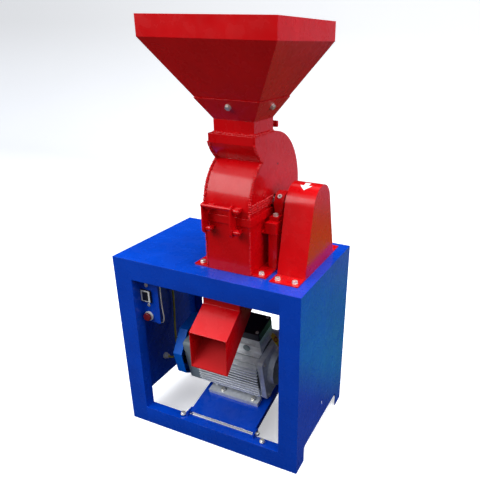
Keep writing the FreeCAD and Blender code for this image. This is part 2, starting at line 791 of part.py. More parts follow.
def belt_guard():
    right = guard_left + guard_w
    shell = guard_solid(0, guard_left, right, table_h)
    hollow = guard_solid(guard_t, guard_left + guard_t, right - guard_t, table_h)
    room = shaft_r + 6
    way = fuse(
        rod_x(guard_left - 1, guard_left + guard_t + 1, rotor_y, rotor_z, room),
        box(guard_left - 1, guard_left + guard_t + 1, rotor_y - room, rotor_y + room, table_h - 1, rotor_z),
    )
    shell = shell.cut([hollow, way])
    flanges = []
    flange_top = table_h + guard_flange_t
    for y0, y1 in ((guard_front - guard_flange, guard_front), (guard_rear, guard_rear + guard_flange)):
        bar = box(guard_left, right, y0, y1, table_h, flange_top)
        for x in (guard_left + guard_bolt_in, right - guard_bolt_in):
            bar = bar.cut(rod_z(table_h - 1, flange_top + 1, x, (y0 + y1) / 2 - 8, flange_bolt_r))
        flanges.append(bar)
    save("belt_guard", fuse(shell, *flanges))


def chute():
    fall = (mouth_top_z - chute_kink_z) / (mouth_y - chute_front)
    floor_fall = (mouth_low_z - under_top) / (mouth_y - chute_rear)

    def roof(y):
        return chute_kink_z + fall * (y - chute_front)

    def floor(y):
        return mouth_low_z + floor_fall * (y - mouth_y)
    roof_skin = chute_t * math.hypot(1, fall)
    floor_skin = chute_t * math.hypot(1, floor_fall)
    left = chute_x - chute_w / 2
    right = chute_x + chute_w / 2
    outer = side_prism([(chute_front, under_top), (chute_front, chute_kink_z), (mouth_y, mouth_top_z),
                        (mouth_y, mouth_low_z), (chute_rear, under_top)], left, right)
    past = mouth_y - 20
    over = under_top + 20
    inner_front = chute_front + chute_t
    top_rear = mouth_y + (over - floor_skin - mouth_low_z) / floor_fall
    inner = side_prism([(inner_front, over), (inner_front, roof(inner_front) - roof_skin),
                        (past, roof(past) - roof_skin), (past, floor(past) + floor_skin),
                        (top_rear, over)], left + chute_t, right - chute_t)
    rim = box(left - chute_flange, right + chute_flange, chute_front, chute_rear + chute_flange,
              under_top - chute_t, under_top)
    save("discharge_chute", fuse(outer, rim).cut(inner))


def lid_hinge():
    half = mill_w / 2 - hinge_inset
    left = mill_x - half
    right = mill_x + half
    back = mill_rear + band_t
    knuckles = []
    for x0 in (left, right - knuckle_w):
        knuckles.append(rod_x(x0, x0 + knuckle_w, hinge_y, seam_z, knuckle_r))
        knuckles.append(box(x0, x0 + knuckle_w, back, back + leaf_t, seam_z - leaf_h, seam_z))
    pin = rod_x(left - 4, right + 4, hinge_y, seam_z, hinge_pin_r)
    save("lid_hinge_fixed", fuse(pin, *knuckles))
    x0 = left + knuckle_w + 1
    x1 = right - knuckle_w - 1
    arm = box(x0, x1, mill_rear, hinge_y, seam_z + 2, seam_z + 8)
    upright = box(x0, x1, mill_rear, mill_rear + leaf_t, seam_z + 2, seam_z + leaf_h)
    barrel = rod_x(x0, x1, hinge_y, seam_z, knuckle_r)
    bore = rod_x(x0 - 1, x1 + 1, hinge_y, seam_z, hinge_pin_r + run_fit)
    save("lid_hinge_moving", fuse(arm, upright, barrel).cut(bore))


def latch():
    low_z = table_h + strap_low_h
    high_z = table_h + strap_high_h
    ring = []
    for x0 in strap_xs:
        x1 = x0 + strap_t
        strap = fuse(
            rod_x(x0, x1, strap_y, low_z, strap_r), rod_x(x0, x1, strap_y, high_z, strap_r),
            box(x0, x1, strap_y - strap_r, strap_y + strap_r, low_z, high_z),
        )
        pivot = rod_x(x0 - 1, x1 + 1, strap_y, low_z, latch_pin_r + run_fit)
        head = rod_x(x0 - latch_head_t, x0, strap_y, high_z, latch_pin_r + 2)
        ring.append(fuse(strap, head).cut(pivot))
    bar_out = latch_boss_r + yoke_bar_r + 2 * body_gap
    bar_y, bar_z = on_circle(strap_y, high_z, bar_out, 146)
    bar = rod_x(strap_xs[0], strap_xs[1] + strap_t, bar_y, bar_z, yoke_bar_r)
    save("latch_yoke", fuse(bar, *ring))

    for name, z, reach in (("latch_lugs", low_z, strap_t + latch_head_t), ("latch_catches", high_z, 0)):
        solids = []
        for x0 in strap_xs:
            boss_x = x0 + strap_t + body_gap
            boss = rod_x(boss_x, boss_x + latch_boss_w, strap_y, z, latch_boss_r)
            root = box(boss_x, boss_x + latch_boss_w, strap_y, rotor_y, z - 6, z + 6)
            root = root.cut(along_x(front_room(), boss_x - 1, boss_x + latch_boss_w + 1))
            pin = rod_x(boss_x - reach, boss_x + latch_boss_w + latch_head_t, strap_y, z, latch_pin_r)
            solids.append(fuse(boss, root, pin))
        save(name, *solids)


def front_room():
    """The space behind the housing's front face, which the latch's lugs stop at."""
    low = (mill_front, table_h)
    start = (mill_front, rotor_z)
    mid = on_circle(rotor_y, rotor_z, front_arc_r, 150)
    end = (rotor_y, rotor_z + front_arc_r)
    corner = (rotor_y + 1, table_h)
    return side_face([line(low, start), arc(start, mid, end), line(end, corner), line(corner, low)])


def motor_mount():
    save("hinge_rod", rod_x(plate_left - lug_t - 12, plate_right + lug_t + 12, pivot_y, pivot_z, rod_r))
    lugs = []
    for x0 in (plate_left - lug_t - 2, plate_right + 2):
        lug = box(x0, x0 + lug_t, -half_d + rail_depth - 18, pivot_y + 14, rail_h, pivot_z + 14)
        lugs.append(lug.cut(rod_x(x0 - 1, x0 + lug_t + 1, pivot_y, pivot_z, rod_r)))
    save("plate_lugs", *lugs)

    top = box(plate_left, plate_right, plate_front, plate_rear, plate_rise - mount_t, plate_rise)
    ends = []
    for x0 in (plate_left, plate_right - mount_t):
        ends.append(box(x0, x0 + mount_t, plate_front, plate_rear, plate_rise - mount_flange, plate_rise))
    cuts = [rod_x(plate_left - 1, plate_right + 1, 0, 0, rod_r + run_fit)]
    for u in (motor_mid - foot_spread / 2, motor_mid + foot_spread / 2):
        for x in foot_bolts_x:
            cuts.append(rod_z(plate_rise - mount_t - 1, plate_rise + 1, x, u, foot_hole_r))
    plate = fuse(top, *ends).cut(cuts)
    save("motor_plate", on_plate(plate))


def octagon_x(x0, x1, y, z, half):
    """A prism along X with eight equal flats."""
    corner = half / math.cos(math.radians(22.5))
    return side_prism([on_circle(y, z, corner, 22.5 + 45 * i) for i in range(8)], x0, x1)


def motor():
    axis = (motor_mid, plate_rise + motor_axis_h)
    feet = []
    foot_room = []
    for u in (motor_mid - foot_spread / 2, motor_mid + foot_spread / 2):
        foot = box(foot_left, foot_right, u - foot_w / 2, u + foot_w / 2, plate_rise, plate_rise + foot_t)
        toward = 1 if u < motor_mid else -1
        rib_ends = sorted((u + toward * foot_rib_start, u + toward * foot_rib_end))
        for x0 in (foot_left + foot_rib_t, foot_right - 2 * foot_rib_t):
            rib = box(x0, x0 + foot_rib_t, rib_ends[0], rib_ends[1],
                      plate_rise + foot_t, plate_rise + foot_t + foot_rib_h)
            foot = fuse(foot, rib)
        foot = foot.cut([rod_x(foot_left - 1, foot_right + 1, axis[0], axis[1], frame_r + body_gap)])
        for x in foot_bolts_x:
            foot = foot.cut(rod_z(plate_rise - 1, plate_rise + foot_t + 1, x, u, foot_hole_r))
        feet.append(foot)
        room = sorted((u - toward * foot_w, u + toward * (foot_rib_end + 2)))
        foot_room.append(box(foot_left - 2, foot_right + 2, room[0], room[1],
                             plate_rise, plate_rise + foot_t + foot_rib_h + 6))
    save("motor_feet", *[on_plate(f) for f in feet])

    core = rod_x(fins_left, fins_right, axis[0], axis[1], frame_r)
    fins = []
    rows = int(frame_r // fin_pitch)
    for i in range(-rows, rows + 1):
        reach = min(fin_r, fin_r * 1.02 * math.cos(math.asin(abs(i) * fin_pitch / fin_r)) + 22)
        fins.append(box(fins_left, fins_right, axis[0] - reach, axis[0] + reach,
                        axis[1] + i * fin_pitch - fin_t / 2, axis[1] + i * fin_pitch + fin_t / 2))
    pad = box(box_left, box_right, axis[0] - box_half, axis[0] + box_half, axis[1], axis[1] + box_rise)
    solid = core.fuse(fins).cut(foot_room)
    solid = fuse(solid, core, pad)
    solid = solid.cut(rod_x(fins_left - 1, fins_right + 1, axis[0], axis[1], motor_shaft_r + 3))
    save("motor_frame", on_plate(solid))

    def shield(x0, x1):
        block = box(x0, x1, axis[0] - shield_half, axis[0] + shield_half,
                    axis[1] - shield_half, axis[1] + shield_half)
        corners = [e for e in block.Edges if e.BoundBox.XLength > 1]
        return block.makeFillet(shield_corner_r, corners)
    bore = rod_x(cowl_left, drive_face + 1, axis[0], axis[1], motor_shaft_r + run_fit)
    nose = rod_x(fins_right, drive_face, axis[0], axis[1], shield_nose_r)
    drive_end = fuse(shield(fins_right, fins_right + shield_w), nose)
    save("drive_end_shield", on_plate(drive_end.cut(bore)))
    save("rear_end_shield", on_plate(shield(rear_face, fins_left).cut(bore)))

    cowl_right = rear_face
    shell = octagon_x(cowl_left, cowl_right, axis[0], axis[1], cowl_flat)
    hollow = octagon_x(cowl_left + cowl_t, cowl_right + 1, axis[0], axis[1], cowl_flat - cowl_t)
    cowl = shell.cut(hollow)
    slots = []
    rows = int(grille_r // grille_pitch)
    for i in range(-rows, rows + 1):
        half = math.sqrt(grille_r ** 2 - (i * grille_pitch) ** 2)
        mid = axis[1] + i * grille_pitch
        slots.append(box(cowl_left - 1, cowl_left + cowl_t + 1, axis[0] - half, axis[0] + half,
                         mid - grille_slot / 2, mid + grille_slot / 2))
    save("fan_cowl", on_plate(cowl.cut(slots)))

    base_top = axis[1] + box_rise
    base = box(box_left + box_step, box_right - box_step, axis[0] - box_half + box_step,
               axis[0] + box_half - box_step, base_top, base_top + box_h)
    save("terminal_box", on_plate(base))
    lid = box(box_left, box_right, axis[0] - box_half, axis[0] + box_half, base_top + box_h,
              base_top + box_h + box_lid_h)
    lid = lid.makeFillet(box_corner_r, [e for e in lid.Edges if abs(e.BoundBox.ZMin - e.BoundBox.ZMax) > 1])
    save("terminal_lid", on_plate(lid))

    save("motor_shaft", on_plate(fuse(
        rod_x(fan_left - 2, motor_shaft_end, axis[0], axis[1], motor_shaft_r),
        rod_x(fins_left + 30, fins_right - 30, axis[0], axis[1], motor_shaft_r + 2),
    )))
    hub = rod_x(fan_left, fan_left + fan_hub_w, axis[0], axis[1], fan_hub_r)
    blades = []
    for i in range(fan_blades):
        blade = box(fan_left, fan_left + fan_blade_w, axis[0] - 2, axis[0] + 2, axis[1], axis[1] + fan_r)
        blade.rotate(V(0, axis[0], axis[1]), V(1, 0, 0), i * 360 / fan_blades)
        blades.append(blade)
    fan = fuse(hub, *blades)
    fan = fan.cut(rod_x(fan_left - 1, fan_left + fan_hub_w + 1, axis[0], axis[1], motor_shaft_r))
    save("cooling_fan", on_plate(fan))
    save("motor_pulley", pulley(motor_y, motor_z, motor_pulley_r, motor_shaft_r))


os.makedirs("parts", exist_ok=True)
table()
controls()
lower_housing()
bearing_seats()
screen()
rotor()
upper_housing()
lid_hinge()
latch()
chute()
belts()
belt_guard()
motor_mount()
motor()
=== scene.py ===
import json
import math

import bmesh
import bpy
from mathutils import Matrix, Vector


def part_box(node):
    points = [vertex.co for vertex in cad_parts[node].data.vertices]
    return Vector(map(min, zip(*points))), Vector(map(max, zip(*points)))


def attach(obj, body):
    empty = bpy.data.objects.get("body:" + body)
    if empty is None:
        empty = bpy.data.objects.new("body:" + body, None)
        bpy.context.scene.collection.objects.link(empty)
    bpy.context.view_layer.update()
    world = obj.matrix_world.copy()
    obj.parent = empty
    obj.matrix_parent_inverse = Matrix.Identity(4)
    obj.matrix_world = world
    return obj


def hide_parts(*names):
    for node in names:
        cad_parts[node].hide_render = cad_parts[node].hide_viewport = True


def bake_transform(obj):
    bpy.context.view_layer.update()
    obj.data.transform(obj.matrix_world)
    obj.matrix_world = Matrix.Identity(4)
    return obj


# A belt driven hammer mill: red enamelled mill, hopper and guard on a blue enamelled table,
# with a finned electric motor slung below. Metres, +Z up, -Y the front.

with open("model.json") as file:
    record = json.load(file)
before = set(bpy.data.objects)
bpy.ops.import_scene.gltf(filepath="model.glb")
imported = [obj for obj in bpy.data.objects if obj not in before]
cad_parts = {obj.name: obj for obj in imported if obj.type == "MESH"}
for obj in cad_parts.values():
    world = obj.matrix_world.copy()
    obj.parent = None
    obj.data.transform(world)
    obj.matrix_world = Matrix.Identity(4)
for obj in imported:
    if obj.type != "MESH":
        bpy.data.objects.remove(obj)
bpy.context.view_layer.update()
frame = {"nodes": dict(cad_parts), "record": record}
nodes = frame["nodes"]
MM = 0.001


def centre_of(node):
    low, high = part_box(node)
    return (low + high) / 2


# ---------------------------------------------------------------- materials

def linear(hex_colour):
    """An sRGB hex colour as a linear RGBA tuple."""
    parts = [int(hex_colour[i:i + 2], 16) / 255 for i in (0, 2, 4)]
    return tuple(c / 12.92 if c <= 0.04045 else ((c + 0.055) / 1.055) ** 2.4 for c in parts) + (1.0,)


def add(tree, kind, inputs=None, **settings):
    """Adds a node. Each input is a plain value, or an output socket to link from."""
    node = tree.nodes.new(kind)
    for name, value in settings.items():
        setattr(node, name, value)
    for name, value in (inputs or {}).items():
        if isinstance(value, bpy.types.NodeSocket):
            tree.links.new(value, node.inputs[name])
        else:
            node.inputs[name].default_value = value
    return node


def new_material(name):
    """An empty material with its output, its shader and object coordinates in metres."""
    made = bpy.data.materials.new(name)
    made.use_nodes = True
    tree = made.node_tree
    tree.nodes.clear()
    shader = add(tree, "ShaderNodeBsdfPrincipled")
    add(tree, "ShaderNodeOutputMaterial", {"Surface": shader.outputs["BSDF"]})
    place = add(tree, "ShaderNodeTexCoord").outputs["Object"]
    return made, tree, shader, place


def mottled(tree, place, size, low, high, detail=3.0):
    """Soft noise of a real patch size in metres, stretched to run from low to high."""
    patches = add(tree, "ShaderNodeTexNoise", {"Vector": place, "Scale": 1 / size, "Detail": detail})
    spread = add(tree, "ShaderNodeMapRange", {"Value": patches.outputs["Fac"], "From Min": 0.3, "From Max": 0.7,
                                              "To Min": low, "To Max": high})
    return spread.outputs["Result"]


def blended(tree, share, first, second):
    mix = add(tree, "ShaderNodeMix", {0: share, 6: first, 7: second}, data_type="RGBA")
    return mix.outputs[2]


def enamel(name, colour, shade, gloss=0.26, coat=0.22):
    """Sprayed gloss enamel on sheet steel: a deep even colour under a clear, faintly rippled surface."""
    made, tree, shader, place = new_material(name)
    cloud = mottled(tree, place, 0.11, 0.0, 0.55)
    shader.inputs["Metallic"].default_value = 0.0
    tree.links.new(blended(tree, cloud, linear(colour), linear(shade)), shader.inputs["Base Color"])
    tree.links.new(mottled(tree, place, 0.045, gloss * 0.75, gloss * 1.3), shader.inputs["Roughness"])
    shader.inputs["Specular IOR Level"].default_value = 0.22
    shader.inputs["Coat Weight"].default_value = coat
    shader.inputs["Coat Roughness"].default_value = 0.05
    # Orange peel, about 3 mm from crest to crest, over the slow waves of thin plate.
    peel = add(tree, "ShaderNodeTexNoise", {"Vector": place, "Scale": 1 / 0.003, "Detail": 2.0})
    waves = add(tree, "ShaderNodeTexNoise", {"Vector": place, "Scale": 1 / 0.06, "Detail": 2.0})
    low = add(tree, "ShaderNodeBump", {"Height": waves.outputs["Fac"], "Strength": 0.3, "Distance": 0.0006})
    fine = add(tree, "ShaderNodeBump", {"Height": peel.outputs["Fac"], "Strength": 0.12, "Distance": 0.00008,
                                        "Normal": low.outputs["Normal"]})
    tree.links.new(fine.outputs["Normal"], shader.inputs["Normal"])
    tree.links.new(fine.outputs["Normal"], shader.inputs["Coat Normal"])
    return made


def metal(name, colour, shade, rough, grain, bump=0.2, metallic=1.0, stretch=(1, 1, 1)):
    """Bare or plated metal with its own grain: cast skin, turned rings or a zinc bloom."""
    made, tree, shader, place = new_material(name)
    shader.inputs["Metallic"].default_value = metallic
    along = add(tree, "ShaderNodeMapping", {"Vector": place, "Scale": stretch}).outputs["Vector"]
    cloud = mottled(tree, along, grain * 6, 0.0, 0.8)
    tree.links.new(blended(tree, cloud, linear(colour), linear(shade)), shader.inputs["Base Color"])
    tree.links.new(mottled(tree, along, grain * 2, rough * 0.8, rough * 1.25), shader.inputs["Roughness"])
    skin = add(tree, "ShaderNodeTexNoise", {"Vector": along, "Scale": 1 / grain, "Detail": 4.0})
    bumped = add(tree, "ShaderNodeBump", {"Height": skin.outputs["Fac"], "Strength": bump, "Distance": grain * 0.15})
    tree.links.new(bumped.outputs["Normal"], shader.inputs["Normal"])
    return made


def plastic(name, colour, shade, rough, grain=0.0008, bump=0.15):
    """Moulded or extruded plastic and rubber with a fine spark-eroded grain."""
    made, tree, shader, place = new_material(name)
    cloud = mottled(tree, place, 0.03, 0.0, 0.6)
    tree.links.new(blended(tree, cloud, linear(colour), linear(shade)), shader.inputs["Base Color"])
    tree.links.new(mottled(tree, place, 0.012, rough * 0.85, rough * 1.15), shader.inputs["Roughness"])
    skin = add(tree, "ShaderNodeTexNoise", {"Vector": place, "Scale": 1 / grain, "Detail": 2.0})
    bumped = add(tree, "ShaderNodeBump", {"Height": skin.outputs["Fac"], "Strength": bump, "Distance": grain * 0.2})
    tree.links.new(bumped.outputs["Normal"], shader.inputs["Normal"])
    return made


def finned_alloy():
    """Cast aluminium, darker in the grooves between the fins as painted shade, told apart by distance from the shaft.
    """
    made = metal("finned_cast_aluminium", "F2F5F6", "D8DCE0", 0.4, 0.0022, bump=0.35, metallic=0.4)
    tree = made.node_tree
    shader = next(n for n in tree.nodes if n.type == "BSDF_PRINCIPLED")
    cast = shader.inputs["Base Color"].links[0].from_socket
    place = next(n for n in tree.nodes if n.type == "TEX_COORD").outputs["Object"]
    axis = centre_of("motor_shaft")
    flat = add(tree, "ShaderNodeVectorMath", {0: place, 1: (0, axis.y, axis.z)}, operation="SUBTRACT")
    flat = add(tree, "ShaderNodeVectorMath", {0: flat.outputs["Vector"], 1: (0, 1, 1)}, operation="MULTIPLY")
    radius = add(tree, "ShaderNodeVectorMath", {0: flat.outputs["Vector"]}, operation="LENGTH")
    groove_shade_mask = add(tree, "ShaderNodeMapRange", {"Value": radius.outputs["Value"], "From Min": 0.1130, "From Max": 0.1165})
    # Painted shade: the grooves take a dark grey, and the fin tips keep the plain cast colour.
    tree.links.new(blended(tree, groove_shade_mask.outputs["Result"], linear("4A4E52"), cast), shader.inputs["Base Color"])
    return made


def scoured_and_shaded_enamel():
    """The chute's red enamel, rubbed dull along its floor by the falling meal, with the floor's colour darkened as
    painted shade.
    """
    made = enamel("scoured_shaded_red_enamel", "D0040C", "B80208")
    tree = made.node_tree
    shader = next(n for n in tree.nodes if n.type == "BSDF_PRINCIPLED")
    place = next(n for n in tree.nodes if n.type == "TEX_COORD").outputs["Object"]
    low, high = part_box("discharge_chute")
    # Height above the floor plate, which climbs from the lip of the mouth to the underside of the table.
    parts = add(tree, "ShaderNodeSeparateXYZ", {"Vector": place})
    climb = 0.939
    rise = add(tree, "ShaderNodeMath", {0: parts.outputs["Y"], 1: -climb, 2: parts.outputs["Z"]},
               operation="MULTIPLY_ADD")
    start = low.z - climb * low.y
    clear = add(tree, "ShaderNodeMapRange", {"Value": rise.outputs[0], "From Min": start + 0.02,
                                             "From Max": start + 0.07})
    # Painted shade: the floor's colour is darkened. Its higher roughness and lost coat are the scoured wear.
    for name, worn_and_shaded in (("Base Color", linear("B80308")), ("Roughness", 0.7)):
        fresh = shader.inputs[name].links[0].from_socket
        if name == "Base Color":
            tree.links.new(blended(tree, clear.outputs["Result"], worn_and_shaded, fresh), shader.inputs[name])
        else:
            mix = add(tree, "ShaderNodeMix", {0: clear.outputs["Result"], 2: worn_and_shaded, 3: fresh})
            tree.links.new(mix.outputs[0], shader.inputs[name])
    coat = add(tree, "ShaderNodeMath", {0: clear.outputs["Result"], 1: 0.22}, operation="MULTIPLY")
    tree.links.new(coat.outputs[0], shader.inputs["Coat Weight"])
    return made


red_enamel = enamel("red_gloss_enamel", "D0040C", "B80208")
blue_enamel = enamel("blue_gloss_enamel", "0042BC", "0035A2")
cowl_enamel = enamel("cowl_blue_enamel", "0074EE", "0062D6", gloss=0.35, coat=0.2)
grey_enamel = enamel("grey_machine_enamel", "94A4A8", "7E8E92", gloss=0.4, coat=0.1)
zinc = metal("zinc_plated_steel", "E8E6DE", "CCC8BA", 0.3, 0.002, metallic=0.7)
bright_steel = metal("ground_steel", "B9BBBE", "9A9CA0", 0.25, 0.0015, stretch=(8, 1, 1))
mill_steel = metal("hot_rolled_steel", "6E6A66", "4E4A48", 0.5, 0.003)
cast_alloy = metal("sand_cast_aluminium", "E2E6E8", "C6CACE", 0.42, 0.0022, bump=0.35, metallic=0.4)
cast_iron = metal("grey_cast_iron", "3A3B3D", "232425", 0.55, 0.002, bump=0.4, metallic=0.6)
belt_rubber = plastic("belt_rubber", "17181A", "0E0F10", 0.6)
black_abs = plastic("black_abs", "15161A", "0B0C0E", 0.4)
white_abs = plastic("white_abs", "E4E4E0", "CFCFC8", 0.3)
red_abs = plastic("dark_red_abs", "7C1016", "5A0A10", 0.3)
olive_pvc = plastic("olive_cable_sheath", "B7AE4A", "8E8838", 0.45)
grey_pvc = plastic("grey_cable_sheath", "C4C4BE", "A4A49E", 0.45)
tag_card = plastic("yellow_tag_card", "E8C21C", "D2A80E", 0.5)
tag_ring = plastic("red_tag_print", "B4241C", "961A14", 0.5)
vinyl = plastic("white_vinyl", "F2F2EE", "E2E2DC", 0.35)

FINISHES = {
    "red_paint": red_enamel, "blue_paint": blue_enamel, "cowl_blue": cowl_enamel, "grey_paint": grey_enamel,
    "zinc": zinc, "steel": bright_steel, "cast_aluminium": cast_alloy, "cast_iron": cast_iron,
    "belt_rubber": belt_rubber, "black_plastic": black_abs, "white_plastic": white_abs, "red_plastic": red_abs,
    "olive_sheath": olive_pvc, "grey_sheath": grey_pvc,
}
slot_of = {row["node"]: row["material_slot"] for row in frame["record"]["subparts"]}
body_of = {n: b for b, names in frame["record"]["behaviour"]["bodies"].items() for n in names}
finish_of = {n: FINISHES[s] for n, s in slot_of.items()}
finish_of["screen"] = mill_steel
finish_of["motor_frame"] = finned_alloy()
finish_of["discharge_chute"] = scoured_and_shaded_enamel()
finish_of["rotor_discs"] = mill_steel
for row in range(1, 5):
    finish_of["hammer_row_%d" % row] = mill_steel


# ---------------------------------------------------------------- mesh helpers

def to_object(name, bm, material):
    mesh = bpy.data.meshes.new(name)
    bm.to_mesh(mesh)
    bm.free()
    mesh.materials.append(material)
    made = bpy.data.objects.new(name, mesh)
    bpy.context.collection.objects.link(made)
    return made


def settle(obj):
    """Applies the modifiers, so that the piece is one plain mesh."""
    dg = bpy.context.evaluated_depsgraph_get()
    dg.update()
    mesh = bpy.data.meshes.new_from_object(obj.evaluated_get(dg))
    obj.modifiers.clear()
    obj.data = mesh
    return obj


def show(obj, body, slot, *replaced):
    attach(obj, body)
    if replaced:
        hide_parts(*replaced)
    return obj


def mark_edges(mesh, angle):
    """Gives a bevel weight to each sharp edge whose ends lie on closed skin alone."""
    bm = bmesh.new()
    bm.from_mesh(mesh)
    weight = bm.edges.layers.float.get("bevel_weight_edge") or bm.edges.layers.float.new("bevel_weight_edge")
    loose = {v for e in bm.edges if len(e.link_faces) != 2 for v in e.verts}
    for edge in bm.edges:
        sound = len(edge.link_faces) == 2 and not loose.intersection(edge.verts)
        edge[weight] = 1.0 if sound and edge.calc_face_angle() > math.radians(angle) else 0.0
    bm.to_mesh(mesh)
    bm.free()


def rounded(obj, width, angle=40, segments=3):
    """Breaks the sharp edges, as a press brake or a linisher leaves them."""
    bevel = obj.modifiers.new("edge", "BEVEL")
    bevel.width = width
    bevel.segments = segments
    mark_edges(obj.data, angle)
    bevel.limit_method = "WEIGHT"
    bevel.harden_normals = True
    bevel.miter_outer = "MITER_ARC"
    return settle(obj)


def smooth_by_angle(bm, degrees=20):
    for face in bm.faces:
        face.smooth = True
    for edge in bm.edges:
        if len(edge.link_faces) == 2:
            edge.smooth = edge.calc_face_angle(0) < math.radians(degrees)


def refined(node, width, angle=25, segments=3):
    """A finished copy of a CAD node: its flat faces made whole and its edges rounded."""
    bm = whole_mesh(node)
    smooth_by_angle(bm)
    obj = to_object("fine_" + node, bm, finish_of[node])
    rounded(obj, width, angle, segments)
    return show(obj, body_of[node], slot_of[node], node)


def whole_mesh(node):
    """A copy of a CAD node's mesh with its corners joined and its flat faces made whole."""
    bm = bmesh.new()
    bm.from_mesh(nodes[node].data)
    bmesh.ops.remove_doubles(bm, verts=bm.verts, dist=2e-6)
    bmesh.ops.dissolve_limit(bm, angle_limit=math.radians(0.4), verts=bm.verts, edges=bm.edges)
    if any(len(edge.link_faces) > 2 for edge in bm.edges):
        part_at_lines(bm)
    return bm


def part_at_lines(bm):
    """Frees the parts of a mesh that meet along a line alone, so that each is closed by itself."""
    waiting = set(bm.faces)
    islands = []
    while waiting:
        reached = [waiting.pop()]
        for face in reached:
            for edge in face.edges:
                if len(edge.link_faces) == 2:
                    fresh = [f for f in edge.link_faces if f in waiting]
                    waiting.difference_update(fresh)
                    reached += fresh
        islands.append(reached)
    for faces in sorted(islands, key=len)[:-1]:
        bmesh.ops.split(bm, geom=faces)


def welded(name, members, width, segments=3):
    """Several nodes of one body welded, ground flush and painted over, as one skin with no joint lines."""
    body = to_object(name, whole_mesh(members[0]), finish_of[members[0]])
    for node in members[1:]:
        other = to_object("join_" + node, whole_mesh(node), finish_of[node])
        union = body.modifiers.new("join", "BOOLEAN")
        union.operation = "UNION"
        union.solver = "EXACT"
        union.object = other
        settle(body)
        bpy.data.objects.remove(other)
    bm = bmesh.new()
    bm.from_mesh(body.data)
    bmesh.ops.remove_doubles(bm, verts=bm.verts, dist=1e-5)
    bmesh.ops.dissolve_limit(bm, angle_limit=math.radians(0.4), verts=bm.verts, edges=bm.edges)
    smooth_by_angle(bm)
    bm.to_mesh(body.data)
    bm.free()
    rounded(body, width, 40, segments)
    return show(body, body_of[members[0]], slot_of[members[0]], *members)


TABLE = ["table_top", "stile_left", "stile_right", "rail_front_top", "rail_front_bottom", "rail_rear_top",
         "side_panel_left", "side_panel_right"]
welded("table_skin", TABLE, 1.4 * MM)

EDGE_WIDTHS = {
    1.3: ["lower_side_plates", "lower_end_plates", "upper_side_plates", "upper_wrapper", "feed_neck", "neck_collar", "discharge_chute", "belt_guard", "motor_plate",
          "seam_band", "base_flanges", "bearing_supports", "feed_gate", "plate_lugs", "lid_hinge_fixed",
          "lid_hinge_moving"],
    0.8: ["hopper", "control_plate", "fan_cowl", "switch_housing", "switch_rocker", "button_bezel",
          "motor_frame", "cable_gland", "terminal_box", "rotor_discs", "mill_pulley", "motor_pulley"],
    2.2: ["bearing_left", "bearing_right", "latch_yoke", "latch_lugs", "latch_catches", "motor_feet",
          "drive_end_shield", "rear_end_shield", "terminal_lid"],
}
fine = {}
for width, names in EDGE_WIDTHS.items():
    for node in names:
        fine[node] = refined(node, width * MM)


def slack_belts():
    """The belts with eased edges."""
    bm = whole_mesh("drive_belts")
    smooth_by_angle(bm)
    obj = rounded(to_object("fine_drive_belts", bm, belt_rubber), 0.8 * MM, 25, 2)
    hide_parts("drive_belts")
    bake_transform(obj)
    return obj


fine["drive_belts"] = slack_belts()
for node, obj in nodes.items():
    if node not in fine and node not in TABLE:
        obj.data.materials.clear()
        obj.data.materials.append(finish_of[node])


# ---------------------------------------------------------------- repeated pieces

def group_tree(name, sockets):
    """An empty geometry tree with named inputs."""
    tree = bpy.data.node_groups.new(name, "GeometryNodeTree")
    tree.interface.new_socket("Geometry", in_out="INPUT", socket_type="NodeSocketGeometry")
    for label, kind in sockets:
        tree.interface.new_socket(label, in_out="INPUT", socket_type=kind)
    tree.interface.new_socket("Geometry", in_out="OUTPUT", socket_type="NodeSocketGeometry")
    return tree, add(tree, "NodeGroupInput")


def weld_tree():
    """Overlapping lumps of weld metal along a path."""
    tree, given = group_tree("weld_bead", [
        ("Spacing", "NodeSocketFloat"), ("Radius", "NodeSocketFloat"), ("Seed", "NodeSocketInt"),
        ("Material", "NodeSocketMaterial")])
    path = add(tree, "GeometryNodeMeshToCurve", {"Mesh": given.outputs["Geometry"]})
    steps = add(tree, "GeometryNodeResampleCurve", {"Curve": path.outputs["Curve"],
                                                    "Length": given.outputs["Spacing"]}, mode="LENGTH")
    wander = add(tree, "FunctionNodeRandomValue", {0: (-0.0007,) * 3, 1: (0.0007,) * 3,
                                                   "Seed": given.outputs["Seed"]}, data_type="FLOAT_VECTOR")
    placed = add(tree, "GeometryNodeSetPosition", {"Geometry": steps.outputs["Curve"],
                                                   "Offset": wander.outputs[0]})
    lump = add(tree, "GeometryNodeMeshIcoSphere", {"Radius": given.outputs["Radius"], "Subdivisions": 2})
    size = add(tree, "FunctionNodeRandomValue", {0: (0.75,) * 3, 1: (1.25,) * 3,
                                                 "Seed": given.outputs["Seed"]}, data_type="FLOAT_VECTOR")
    turn = add(tree, "FunctionNodeRandomValue", {0: (0.0,) * 3, 1: (3.1,) * 3,
                                                 "Seed": given.outputs["Seed"]}, data_type="FLOAT_VECTOR")
    spread = add(tree, "GeometryNodeInstanceOnPoints", {
        "Points": placed.outputs["Geometry"], "Instance": lump.outputs["Mesh"],
        "Rotation": turn.outputs[0], "Scale": size.outputs[0]})
    real = add(tree, "GeometryNodeRealizeInstances", {"Geometry": spread.outputs["Instances"]})
    soft = add(tree, "GeometryNodeSetShadeSmooth", {"Geometry": real.outputs["Geometry"]})
    skin = add(tree, "GeometryNodeSetMaterial", {"Geometry": soft.outputs[0],
                                                 "Material": given.outputs["Material"]})
    add(tree, "NodeGroupOutput", {"Geometry": skin.outputs["Geometry"]})
    return tree


